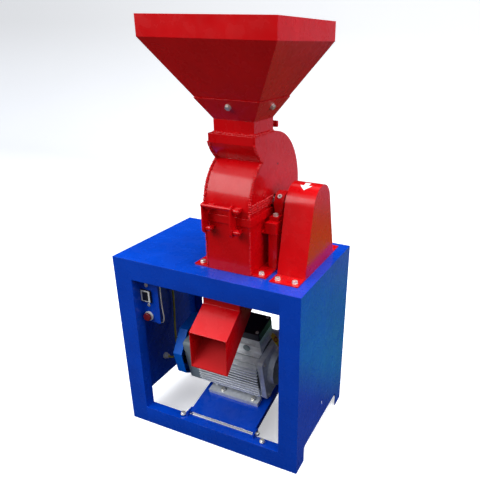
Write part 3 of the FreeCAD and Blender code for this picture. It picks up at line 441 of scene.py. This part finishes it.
def bolt_tree():
    """A copy of one fastener at each point, its axis along the point's facing."""
    tree, given = group_tree("fasteners", [("Fastener", "NodeSocketObject"), ("Material", "NodeSocketMaterial")])
    facing = add(tree, "GeometryNodeInputNamedAttribute", {"Name": "facing"}, data_type="FLOAT_VECTOR")
    turn = add(tree, "FunctionNodeAlignRotationToVector", {"Vector": facing.outputs[0]}, axis="Z")
    piece = add(tree, "GeometryNodeObjectInfo", {"Object": given.outputs["Fastener"]})
    spread = add(tree, "GeometryNodeInstanceOnPoints", {
        "Points": given.outputs["Geometry"], "Instance": piece.outputs["Geometry"],
        "Rotation": turn.outputs[0]})
    real = add(tree, "GeometryNodeRealizeInstances", {"Geometry": spread.outputs["Instances"]})
    skin = add(tree, "GeometryNodeSetMaterial", {"Geometry": real.outputs["Geometry"],
                                                 "Material": given.outputs["Material"]})
    add(tree, "NodeGroupOutput", {"Geometry": skin.outputs["Geometry"]})
    return tree


WELD_TREE = weld_tree()
BOLT_TREE = bolt_tree()


def grow(obj, tree, values):
    """Runs a geometry tree on an object and keeps the plain mesh."""
    modifier = obj.modifiers.new("grow", "NODES")
    modifier.node_group = tree
    keys = {item.name: item.identifier for item in tree.interface.items_tree if item.in_out == "INPUT"}
    for label, value in values.items():
        modifier[keys[label]] = value
    return settle(obj)


def weld(name, paths, body, slot="red_paint", material=red_enamel, radius=3.6 * MM, spacing=6.0 * MM, seed=1):
    """A weld bead along each path of points."""
    bm = bmesh.new()
    for points in paths:
        verts = [bm.verts.new(p) for p in points]
        for a, b in zip(verts, verts[1:]):
            bm.edges.new((a, b))
    obj = to_object(name, bm, material)
    grow(obj, WELD_TREE, {"Spacing": spacing, "Radius": radius, "Seed": seed, "Material": material})
    return show(obj, body, slot)


def hex_bolt(name, across, head, washer, material=zinc):
    """A hexagon head on a washer, standing on its XY plane, with a chamfered crown."""
    bm = bmesh.new()
    def ring(r, z, count, turn=0.0):
        return [bm.verts.new((r * math.cos(turn + math.tau * i / count), r * math.sin(turn + math.tau * i / count), z))
                for i in range(count)]
    def wall(a, b):
        for i in range(len(a)):
            bm.faces.new((a[i], a[(i + 1) % len(a)], b[(i + 1) % len(b)], b[i]))
    t = washer * 0.12
    base, edge, top = ring(washer, -t, 24), ring(washer, t * 0.7, 24), ring(washer * 0.94, t, 24)
    wall(base, edge)
    wall(edge, top)
    bm.faces.new(top)
    bm.faces.new(base[::-1])
    r = across / math.sqrt(3)
    low, high = ring(r, t * 0.6, 6), ring(r, t + head * 0.82, 6)
    crown = ring(r * 0.84, t + head, 6)
    bm.faces.new(low[::-1])
    wall(low, high)
    wall(high, crown)
    bm.faces.new(crown)
    for face in bm.faces:
        face.smooth = False
    obj = to_object(name, bm, material)
    obj.hide_render = True
    return obj


def fasteners(name, kind, places, body, slot="zinc", material=zinc):
    """Copies of one fastener; each place is a point and the way that its head faces."""
    mesh = bpy.data.meshes.new(name)
    mesh.from_pydata([p for p, _ in places], [], [])
    facing = mesh.attributes.new("facing", "FLOAT_VECTOR", "POINT")
    for i, (_, way) in enumerate(places):
        facing.data[i].vector = way
    mesh.materials.append(material)
    obj = bpy.data.objects.new(name, mesh)
    bpy.context.collection.objects.link(obj)
    grow(obj, BOLT_TREE, {"Fastener": kind, "Material": material})
    return show(obj, body, slot)


m10 = hex_bolt("kind_m10", 17 * MM, 7 * MM, 10.5 * MM)
m8 = hex_bolt("kind_m8", 13 * MM, 5.5 * MM, 8.5 * MM)
m6 = hex_bolt("kind_m6", 10 * MM, 4.5 * MM, 6.5 * MM)
UP, FRONT, BACK, LEFT, RIGHT = (0, 0, 1), (0, -1, 0), (0, 1, 0), (-1, 0, 0), (1, 0, 0)


def table_fasteners():
    low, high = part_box("base_flanges")
    z = high.z + 1.0 * MM
    inset = 23 * MM
    spots = [((x, y, z), UP) for x in (low.x + inset, high.x - 25 * MM) for y in (low.y + 19 * MM, high.y - 18 * MM)]
    spots.append(((high.x - 28 * MM, low.y + 128 * MM, z), UP))
    low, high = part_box("belt_guard")
    z = low.z + 5.0 * MM
    for x in (low.x + 21 * MM, high.x - 20 * MM):
        spots += [((x, low.y + 23 * MM, z), UP), ((x, high.y - 39 * MM, z), UP)]
    for node in ("bearing_left", "bearing_right"):
        low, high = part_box(node)
        middle = (low + high) / 2
        for y in (low.y + 14 * MM, high.y - 14 * MM):
            spots.append(((middle.x, y, low.z + 15 * MM), UP))
    fasteners("mill_and_guard_bolts", m10, spots, "table")

    low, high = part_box("rail_front_bottom")
    left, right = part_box("motor_plate")
    spots = [((left.x - 24 * MM, low.y + 24 * MM, high.z + 6 * MM), UP),
             ((right.x + 46 * MM, low.y + 20 * MM, high.z + 6 * MM), UP)]
    fasteners("rail_bolts", m10, spots, "table")
    low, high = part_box("hinge_rod")
    y, z = (low.y + high.y) / 2, (low.z + high.z) / 2
    fasteners("rod_nuts", m8, [((low.x + 6 * MM, y, z), LEFT), ((high.x - 6 * MM, y, z), RIGHT)], "table")


def lid_fasteners():
    low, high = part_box("neck_collar")
    middle = (low + high) / 2
    lean = math.atan(0.66)
    out, down = math.cos(lean), -math.sin(lean)
    rise = 0.65 * (high.z - low.z)
    z = low.z + rise
    half_x = (high.x - low.x) / 2 - (high.z - z) * 0.66 + 0.8 * MM
    half_y = (high.y - low.y) / 2 - (high.z - z) * 0.66 + 0.8 * MM
    spots = [((middle.x, middle.y - half_y, z), (0, -out, down)), ((middle.x, middle.y + half_y, z), (0, out, down)),
             ((middle.x + half_x, middle.y, z), (out, 0, down)), ((middle.x - half_x, middle.y, z), (-out, 0, down))]
    fasteners("collar_bolts", m10, spots, "lid")


def outline(node, x, tolerance=0.2 * MM):
    """The corner points of a node's flat side face at x, in order round its edge."""
    bm = whole_mesh(node)
    faces = [f for f in bm.faces if all(abs(v.co.x - x) < tolerance for v in f.verts)]
    face = max(faces, key=lambda f: f.calc_area())
    points = [v.co.copy() for v in face.verts]
    bm.free()
    return points


def housing_welds():
    low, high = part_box("upper_side_plates")
    plate = 5 * MM
    seam = low.z
    paths = []
    for x, joint in ((high.x, high.x - plate * 0.35), (low.x, low.x + plate * 0.35)):
        points = outline("upper_side_plates", x)
        top = max(p.z for p in points)
        kept = [p for p in points if p.z > seam + 1 * MM and p.y < centre_of("feed_neck").y + 60 * MM and p.z < top - 1 * MM]
        kept.sort(key=lambda p: p.z)
        front = [Vector((joint, p.y, p.z)) for p in kept if p.y < centre_of("upper_side_plates").y - 20 * MM]
        paths.append([Vector((joint, front[0].y, seam + 2 * MM))] + front)
    weld("housing_front_welds", paths, "lid", radius=5.4 * MM, spacing=7.5 * MM, seed=3)

    low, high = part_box("feed_neck")
    out = 0.5 * MM
    ring = [Vector((x, y, low.z + 1.2 * MM)) for x, y in (
        (low.x - out, low.y - out), (high.x + out, low.y - out), (high.x + out, high.y + out),
        (low.x - out, high.y + out), (low.x - out, low.y - out))]
    weld("neck_weld", [ring], "lid", radius=5.6 * MM, spacing=7.5 * MM, seed=5)

    low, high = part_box("lower_side_plates")
    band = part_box("seam_band")[0].z
    paths = []
    for x in (low.x + plate * 0.35, high.x - plate * 0.35):
        paths.append([Vector((x, low.y, low.z + 8 * MM)), Vector((x, low.y, band - 2 * MM))])
    weld("body_corner_welds", paths, "table", radius=3.6 * MM, spacing=6.5 * MM, seed=7)


def at(x, y, z):
    """Millimetres from the middle of the table's footprint, as a place in the frame."""
    middle = centre_of("table_top")
    return Vector((middle.x + x * MM, middle.y + y * MM, z * MM))


TILT = math.radians(13)
ALONG = Vector((0, math.cos(TILT), math.sin(TILT)))
OFF = Vector((0, -math.sin(TILT), math.cos(TILT)))


def on_plate(x, u, w):
    """A place on the tilted motor plate: u up the slope from the hinge rod, w square off it."""
    return at(x, -198, 82) + ALONG * (u * MM) + OFF * (w * MM)


def placed(bm, place, way, across=None):
    """Moves a mesh so that its Z runs along a direction and its X along another."""
    z = Vector(way).normalized()
    x = Vector(across) if across else Vector((1, 0, 0)) if abs(z.x) < 0.9 else Vector((0, 1, 0))
    x = (x - z * x.dot(z)).normalized()
    turn = Matrix((x, z.cross(x), z)).transposed().to_4x4()
    bmesh.ops.transform(bm, matrix=Matrix.Translation(place) @ turn, verts=bm.verts)
    return bm


def turned(name, profile, place, way, body, slot, material, count=40):
    """A lathe turned piece from its (radius, height) outline in millimetres, closed on its axis."""
    bm = bmesh.new()
    rings = []
    for r, z in profile:
        if r == 0:
            rings.append([bm.verts.new((0, 0, z * MM))])
        else:
            rings.append([bm.verts.new((r * MM * math.cos(math.tau * i / count),
                                        r * MM * math.sin(math.tau * i / count), z * MM)) for i in range(count)])
    for a, b in zip(rings, rings[1:]):
        for i in range(count):
            j = (i + 1) % count
            corners = [a[i % len(a)], a[j % len(a)], b[j % len(b)], b[i % len(b)]]
            bm.faces.new(list(dict.fromkeys(corners)))
    bmesh.ops.recalc_face_normals(bm, faces=bm.faces)
    smooth_by_angle(bm, 35)
    return show(to_object(name, placed(bm, place, way), material), body, slot)


def slab(name, outline_mm, thick, place, way, across, body, slot, material, edge=0.4, bend=None):
    """A flat piece cut to an outline, its edges eased. bend is not used."""
    bm = bmesh.new()
    base = [bm.verts.new((x * MM, y * MM, 0)) for x, y in outline_mm]
    face = bm.faces.new(base)
    raised = bmesh.ops.extrude_face_region(bm, geom=[face])
    for v in (g for g in raised["geom"] if isinstance(g, bmesh.types.BMVert)):
        v.co.z += thick * MM
    bmesh.ops.recalc_face_normals(bm, faces=bm.faces)
    placed(bm, place, way, across)
    smooth_by_angle(bm)
    obj = to_object(name, bm, material)
    rounded(obj, edge * MM, 30, 2)
    return show(obj, body, slot)


def sticker():
    """A plain white arrow on the guard's round top, its head towards the front."""
    low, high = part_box("belt_guard")
    r = (high.z - 0.958) + 0.35 * MM
    x0 = low.x + 53 * MM
    axis = at(0, 10, 958)
    # Half widths across the guard, in millimetres, at angles from the top towards the front.
    rows = [(2, 10), (6, 9.6), (10, 9.2), (14, 8.8), (17, 8.4), (17.01, 21), (21, 17), (25, 12.5), (29, 7.5), (34, 1)]
    bm = bmesh.new()
    layers = []
    for depth in (0, 0.6 * MM):
        layer = []
        for degrees, half in rows:
            a = math.radians(degrees)
            y, z = axis.y - (r - depth) * math.sin(a), axis.z + (r - depth) * math.cos(a)
            layer.append((bm.verts.new((x0 - half * MM, y, z)), bm.verts.new((x0 + half * MM, y, z))))
        layers.append(layer)
    top, under = layers
    for i in range(len(rows) - 1):
        bm.faces.new((top[i][0], top[i][1], top[i + 1][1], top[i + 1][0]))
        bm.faces.new((under[i][0], under[i + 1][0], under[i + 1][1], under[i][1]))
        for side in (0, 1):
            bm.faces.new((top[i][side], top[i + 1][side], under[i + 1][side], under[i][side]))
    for end in (0, -1):
        bm.faces.new((top[end][0], top[end][1], under[end][1], under[end][0]))
    bmesh.ops.recalc_face_normals(bm, faces=bm.faces)
    smooth_by_angle(bm)
    show(to_object("turning_arrow", bm, vinyl), "table", "white_plastic")


def mill_details():
    diagonal = (0, -1, 1)
    for side, x in (("right", 196), ("left", -48)):
        seat = at(x, 2 - 41.6 * 0.7071, 958 + 41.6 * 0.7071)
        turned("nipple_boss_" + side, [(0, -2), (8.5, -2), (8.5, 2.2), (7.6, 3.2), (3.9, 3.2), (3.5, 2.6), (3.5, 1.0),
                                       (0, 1.0)], seat, diagonal, "table", "white_plastic", white_abs)
        turned("nipple_" + side, [(0, 0.6), (3.1, 0.6), (3.1, 2.0), (1.6, 2.8), (0, 2.8)], seat, diagonal, "table",
               "black_plastic", black_abs)
    turned("sight_hole_grommet", [(0, -1), (3.4, -1), (3.4, 0.5), (2.2, 0.9), (0, 0.4)], at(160, 30, 1085), RIGHT, "lid",
           "black_plastic", black_abs)
    turned("side_plug", [(0, -1), (11, -1), (11, 1.2), (9.6, 2.4), (5, 2.9), (0, 3.0)], at(160, -72, 996), RIGHT, "lid",
           "red_paint", red_enamel)
    low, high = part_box("hinge_rod")
    y, z = (low.y + high.y) / 2, (low.z + high.z) / 2
    turned("rod_collar", [(5.1, 0), (9.5, 0), (10, 0.6), (10, 8.4), (9.5, 9), (5.1, 9)],
           Vector((high.x - 18 * MM, y, z)), RIGHT, "table", "zinc", zinc)


def motor_details():
    feet = [(on_plate(x, u, 31.6), OFF) for x in (-28, 112) for u in (124, 340)]
    fasteners("motor_foot_bolts", m10, feet, "motor_tray")
    low, high = 145 + 206.6, 145 + 172
    fasteners("terminal_lid_screws", m6, [(on_plate(x, 232 + du, low), OFF) for x in (40, 138) for du in (-44, 44)],
              "motor_tray")
    shield = [(on_plate(174.6, 232 + du, 145 + dw), RIGHT) for du in (-86, 86) for dw in (-86, 86)]
    fasteners("drive_shield_bolts", m8, shield, "motor_tray")
    turned("knock_out", [(0, -1), (15, -1), (15, 1.4), (13.8, 2.2), (11, 2.2), (10.4, 1.2), (0, 1.0)],
           on_plate(88, 173.8, 267), -ALONG, "motor_tray", "grey_paint", grey_enamel)
    # A plain yellow card with a red ring, hung on the terminal box and leaning over the end shield.
    head, foot = on_plate(154.5, 256, 145 + 150), on_plate(184, 262, 145 + 88)
    down = (foot - head)
    card = [(-13, 0), (-13, 50), (-8, 60), (8, 60), (13, 50), (13, 0)]
    way = down.cross(ALONG).normalized()
    if way.x < 0:
        way = -way
    slab("hang_tag", card, 0.8, foot, way, way.cross(down).normalized(), "motor_tray", "white_plastic", tag_card, 0.25)
    middle = foot.lerp(head, 0.42) + way * (0.8 * MM)
    turned("hang_tag_ring", [(6.5, -0.3), (10.5, -0.3), (10.5, 0.35), (6.5, 0.35), (6.5, -0.3)], middle, way, "motor_tray",
           "red_plastic", tag_ring)


def frame_plate(name, outer, inner, thick, middle):
    """A thin white bezel round an opening, facing the front. Sizes in millimetres."""
    bm = bmesh.new()
    loops = []
    for (w, h), depth in ((outer, 0), (outer, -thick), (inner, -thick), (inner, 0)):
        loops.append([bm.verts.new(middle + Vector((sx * w / 2, depth, sz * h / 2)) * MM)
                      for sx, sz in ((-1, -1), (1, -1), (1, 1), (-1, 1))])
    for a, b in zip(loops, loops[1:] + loops[:1]):
        for i in range(4):
            bm.faces.new((a[i], a[(i + 1) % 4], b[(i + 1) % 4], b[i]))
    bmesh.ops.recalc_face_normals(bm, faces=bm.faces)
    smooth_by_angle(bm)
    obj = to_object(name, bm, white_abs)
    rounded(obj, 0.3 * MM, 30, 2)
    return show(obj, "table", "white_plastic")


def control_details():
    low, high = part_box("switch_housing")
    frame_plate("switch_frame", (41, 46), (24.5, 36.5), 1.2, Vector(((low.x + high.x) / 2, low.y, 0.580)))
    plate = at(0, -200, 0).y
    x = (low.x + high.x) / 2
    turned("switch_lamp_boss", [(0, -1), (8.5, -1), (8.5, 2), (7.6, 3.4), (4, 4.2), (0, 4.4)],
           Vector((x + 3 * MM, plate, 0.6245)), FRONT, "table", "zinc", zinc)
    turned("button_marker", [(0, -1), (7, -1), (7, 1.6), (6, 2.6), (0, 3)], Vector((x + 6 * MM, plate, 0.5405)), FRONT, "table",
           "zinc", zinc)


table_fasteners()
lid_fasteners()
housing_welds()
sticker()
mill_details()
motor_details()
control_details()

for kind in (m10, m8, m6):
    bpy.data.objects.remove(kind)


# ---------------------------------------------------------------- stage, light and camera

def stage():
    mesh = bpy.data.meshes.new("floor")
    reach, back, height, bend = 9.0, 5.0, 7.0, 1.6
    profile = [(-reach, 0.0), (back - bend, 0.0)]
    for i in range(1, 13):
        a = math.pi / 2 * i / 12
        profile.append((back - bend + bend * math.sin(a), bend - bend * math.cos(a)))
    profile.append((back, height))
    verts = [(x, y, z) for y, z in profile for x in (-reach, reach)]
    faces = [(2 * i, 2 * i + 1, 2 * i + 3, 2 * i + 2) for i in range(len(profile) - 1)]
    mesh.from_pydata(verts, [], faces)
    floor = bpy.data.objects.new("floor", mesh)
    bpy.context.collection.objects.link(floor)
    for face in mesh.polygons:
        face.use_smooth = True
    # White paper to the eye. The part's own reflections see it dimmer, with coloured cards behind and to the right.
    made, tree, shader, place = new_material("paper_sweep")
    paper = blended(tree, mottled(tree, place, 0.8, 0.0, 0.4), linear("F4F5F6"), linear("EEF0F1"))
    direct = add(tree, "ShaderNodeLightPath").outputs["Is Camera Ray"]
    across = add(tree, "ShaderNodeSeparateXYZ", {"Vector": place})
    cards = add(tree, "ShaderNodeValToRGB", {"Fac": add(tree, "ShaderNodeMath", {0: across.outputs["Y"], 1: 4.0},
                                                        operation="DIVIDE").outputs[0]})
    stops = ((0.05, "44423E"), (0.12, "3C8C72"), (0.30, "40803C"), (0.62, "7C7A2E"), (0.85, "C894B4"), (0.98, "D8B4C4"))
    ramp = cards.color_ramp
    while len(ramp.elements) < len(stops):
        ramp.elements.new(0.5)
    for element, (spot, shade) in zip(ramp.elements, stops):
        element.position, element.color = spot, linear(shade)
    beyond = add(tree, "ShaderNodeMath", {0: across.outputs["Y"], 1: -0.2, 2: across.outputs["X"]},
                 operation="MULTIPLY_ADD")
    right = add(tree, "ShaderNodeMapRange", {"Value": beyond.outputs[0], "From Min": 0.25, "From Max": 0.38})
    unseen = blended(tree, right.outputs["Result"], linear("44423E"), cards.outputs["Color"])
    tree.links.new(blended(tree, direct, unseen, paper), shader.inputs["Base Color"])
    shader.inputs["Roughness"].default_value = 0.9
    shader.inputs["Specular IOR Level"].default_value = 0.0
    glow = add(tree, "ShaderNodeMath", {0: direct, 1: 0.42}, operation="MULTIPLY")
    shader.inputs["Emission Color"].default_value = (1, 1, 1, 1)
    tree.links.new(glow.outputs["Value"], shader.inputs["Emission Strength"])
    mesh.materials.append(made)


def area_light(name, place, aim, size, power, colour=(1, 1, 1)):
    data = bpy.data.lights.new(name, "AREA")
    data.shape = "RECTANGLE"
    data.size, data.size_y = size
    data.energy = power
    data.color = colour
    light = bpy.data.objects.new(name, data)
    light.location = place
    light.rotation_euler = (Vector(aim) - Vector(place)).to_track_quat("-Z", "Y").to_euler()
    bpy.context.collection.objects.link(light)


def lights():
    world = bpy.data.worlds.new("studio")
    bpy.context.scene.world = world
    world.use_nodes = True
    tree = world.node_tree
    tree.nodes.clear()
    # Dim at the level of the eye, bright overhead and to the right. The camera itself sees a pale room.
    way = add(tree, "ShaderNodeSeparateXYZ", {"Vector": add(tree, "ShaderNodeTexCoord").outputs["Generated"]})
    up = add(tree, "ShaderNodeMapRange", {"Value": way.outputs["Z"], "From Min": 0.05, "From Max": 0.75})
    side = add(tree, "ShaderNodeMapRange", {"Value": way.outputs["X"], "From Min": 0.35, "From Max": 0.95,
                                            "To Max": 0.5})
    share = add(tree, "ShaderNodeMath", {0: up.outputs["Result"], 1: side.outputs["Result"]}, operation="MAXIMUM")
    colour = blended(tree, share.outputs["Value"], linear("45403C"), linear("E8EFFC"))
    direct = add(tree, "ShaderNodeLightPath").outputs["Is Camera Ray"]
    seen = blended(tree, direct, colour, linear("F2F5F8"))
    sky = add(tree, "ShaderNodeBackground", {"Color": seen, "Strength": 1.0})
    add(tree, "ShaderNodeOutputWorld", {"Surface": sky.outputs["Background"]})
    area_light("key", (-2.2, -2.6, 3.2), (0, 0, 0.8), (2.8, 2.4), 112)
    area_light("top", (0.3, 0.2, 3.7), (0, 0, 0.7), (2.6, 2.2), 125)
    area_light("side", (3.4, -0.6, 2.3), (0, 0, 0.9), (1.8, 2.2), 50, (0.86, 0.9, 1.0))


def camera():
    data = bpy.data.cameras.new("camera")
    data.sensor_width = 36.0
    data.lens = 37.875
    data.shift_x = -0.1247
    data.shift_y = 0.0499
    data.clip_end = 60
    made = bpy.data.objects.new("camera", data)
    azimuth, elevation, roll = (math.radians(d) for d in (22.609, 24.157, 1.549))
    back = Vector((math.sin(azimuth) * math.cos(elevation), -math.cos(azimuth) * math.cos(elevation),
                   math.sin(elevation)))
    right = Vector((math.cos(azimuth), math.sin(azimuth), 0))
    up = back.cross(right)
    turned_right = right * math.cos(roll) + up * math.sin(roll)
    turned_up = up * math.cos(roll) - right * math.sin(roll)
    turn = Matrix((turned_right, turned_up, back)).transposed()
    made.matrix_world = Matrix.Translation((0.9046, -1.5095, 1.4840)) @ turn.to_4x4()
    bpy.context.collection.objects.link(made)
    bpy.context.scene.camera = made


stage()
lights()
camera()
bpy.context.scene.view_settings.view_transform = "Standard"
